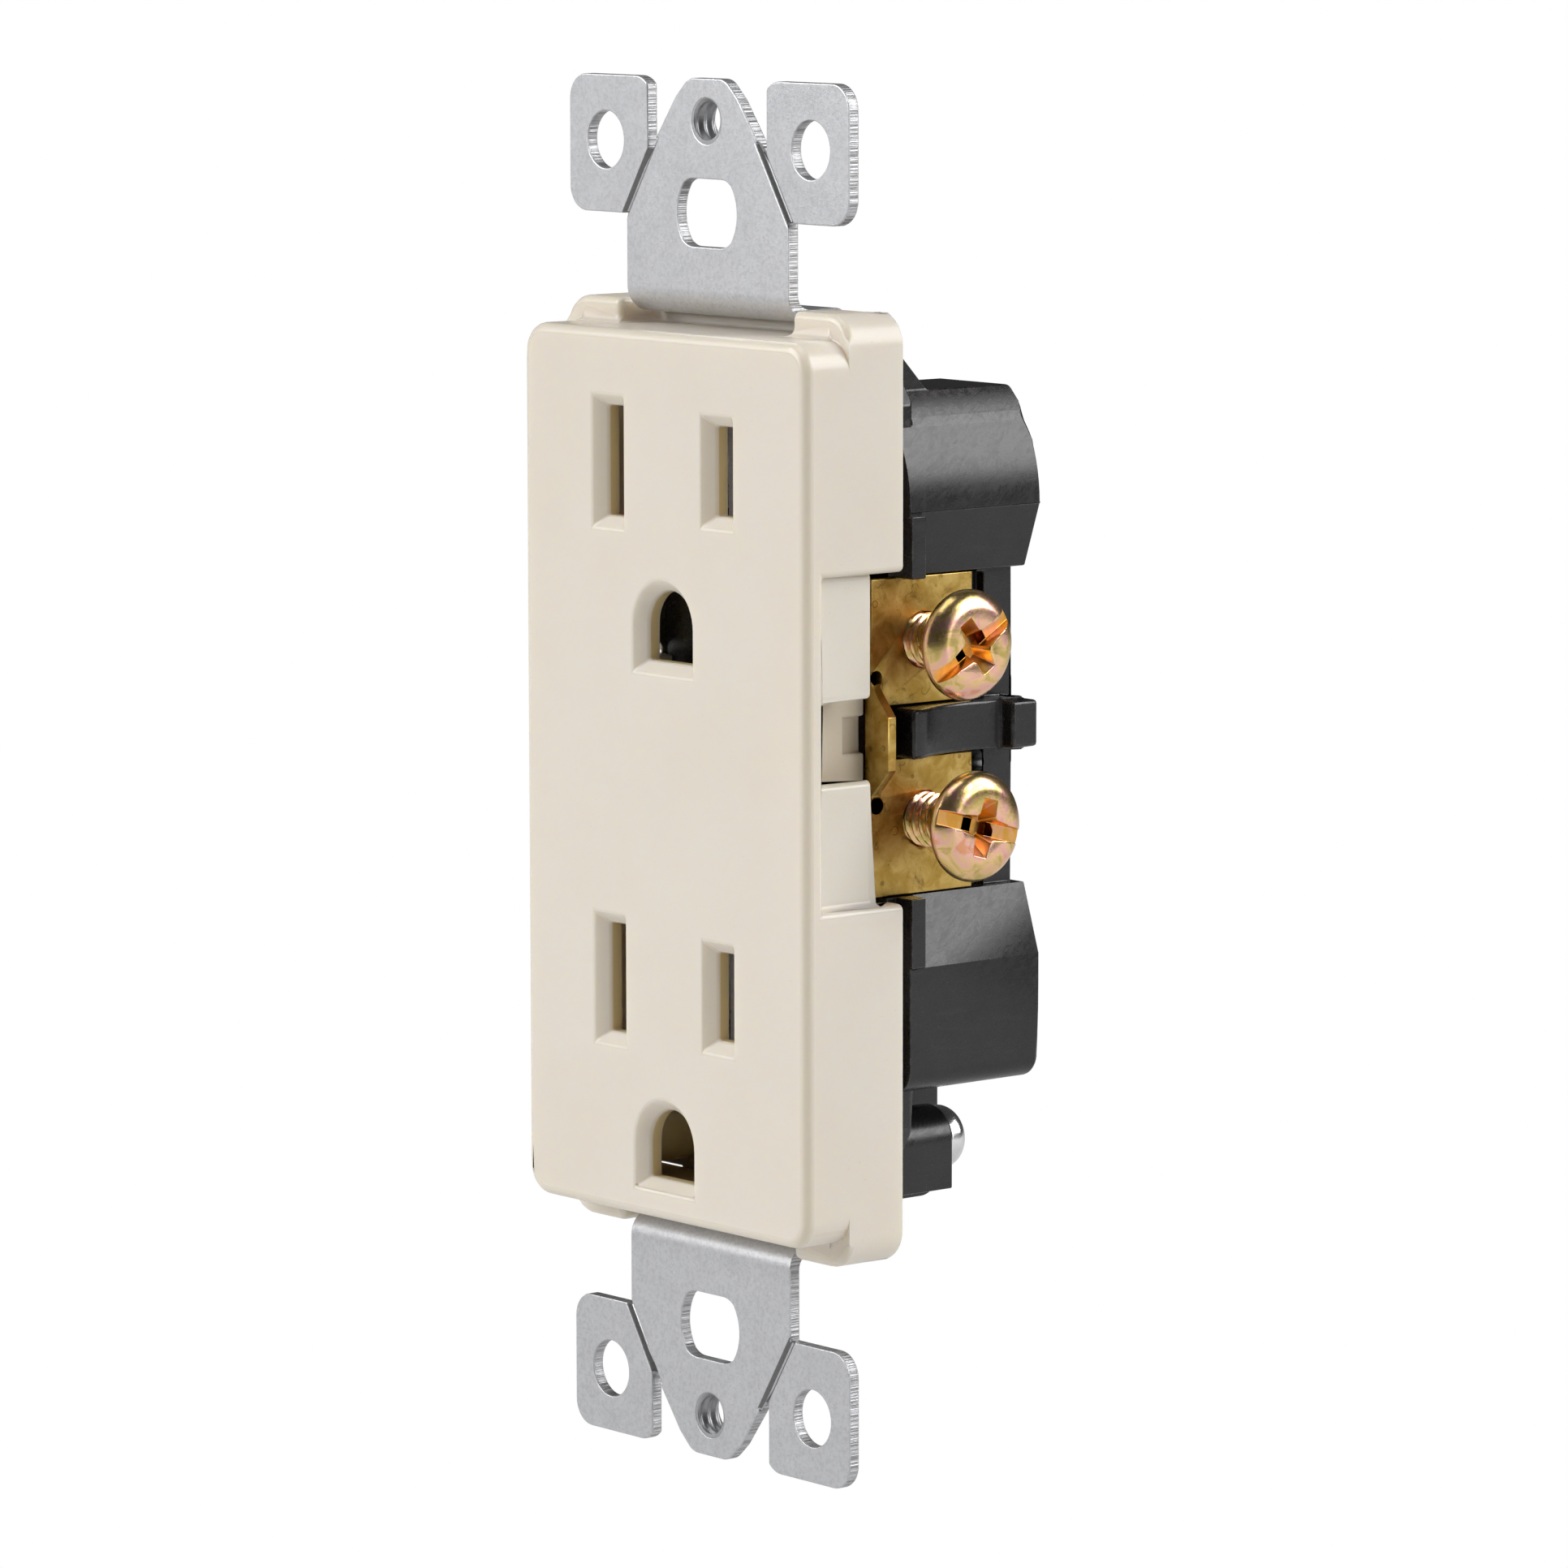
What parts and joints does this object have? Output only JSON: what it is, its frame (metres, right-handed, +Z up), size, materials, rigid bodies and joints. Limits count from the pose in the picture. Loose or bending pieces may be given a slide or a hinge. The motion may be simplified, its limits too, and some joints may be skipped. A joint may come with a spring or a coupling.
{
  "type": "duplex wall receptacle",
  "caption": "Flat-faced duplex wall receptacle on a steel mounting strap, with side terminal screws, internal contacts and a moulded rear body.",
  "frame": {"origin": "on the wall plane (rear face of the strap's ears), midway between the two box-screw holes", "axes": "+Y into the wall, +Z up along the strap, +X towards the hot (brass screw) side; the face looks along -Y"},
  "size_m": [0.04, 0.0239, 0.1032],
  "materials": {
    "cover_plastic": "satin moulded thermoplastic",
    "body_plastic": "satin black moulded thermoplastic",
    "galvanised_steel": "matt galvanised, sheared edges",
    "brass": "rolled, slightly tarnished",
    "plated_brass": "tin plated",
    "yellow_zinc": "yellow chromate plated",
    "bright_zinc": "bright zinc plated",
    "green_zinc": "green passivated zinc",
    "spring_steel": "bright spring temper strip"
  },
  "bodies": {
    "receptacle": {"front_cover": "cover_plastic", "rear_body": "body_plastic", "mounting_strap": "galvanised_steel", "hot_contact": "brass", "neutral_contact": "plated_brass", "ground_contact_upper": "brass", "ground_contact_lower": "brass", "ground_rivet_upper": "bright_zinc", "ground_rivet_lower": "bright_zinc", "assembly_screw_top": "bright_zinc", "assembly_screw_left": "bright_zinc", "assembly_screw_right": "bright_zinc", "wire_clamp_hot_upper": "spring_steel", "wire_clamp_hot_lower": "spring_steel", "wire_clamp_neutral_upper": "spring_steel", "wire_clamp_neutral_lower": "spring_steel"},
    "hot_screw_upper": {"hot_screw_upper": "yellow_zinc"},
    "hot_screw_lower": {"hot_screw_lower": "yellow_zinc"},
    "neutral_screw_upper": {"neutral_screw_upper": "bright_zinc"},
    "neutral_screw_lower": {"neutral_screw_lower": "bright_zinc"},
    "ground_screw": {"ground_screw": "green_zinc"}
  },
  "joints": [
    {"name": "hot_screw_upper_travel", "type": "slide", "parent": "receptacle", "child": "hot_screw_upper", "axis": [-1, 0, 0], "range_m": [-0.0016, 0.00385]},
    {"name": "hot_screw_lower_travel", "type": "slide", "parent": "receptacle", "child": "hot_screw_lower", "axis": [-1, 0, 0], "range_m": [-0.0007, 0.00475]},
    {"name": "neutral_screw_upper_travel", "type": "slide", "parent": "receptacle", "child": "neutral_screw_upper", "axis": [1, 0, 0], "range_m": [-0.0016, 0.00385]},
    {"name": "neutral_screw_lower_travel", "type": "slide", "parent": "receptacle", "child": "neutral_screw_lower", "axis": [1, 0, 0], "range_m": [-0.0007, 0.00475]},
    {"name": "ground_screw_travel", "type": "slide", "parent": "receptacle", "child": "ground_screw", "axis": [1, 0, 0], "range_m": [-0.0003, 0.00145]}
  ]
}
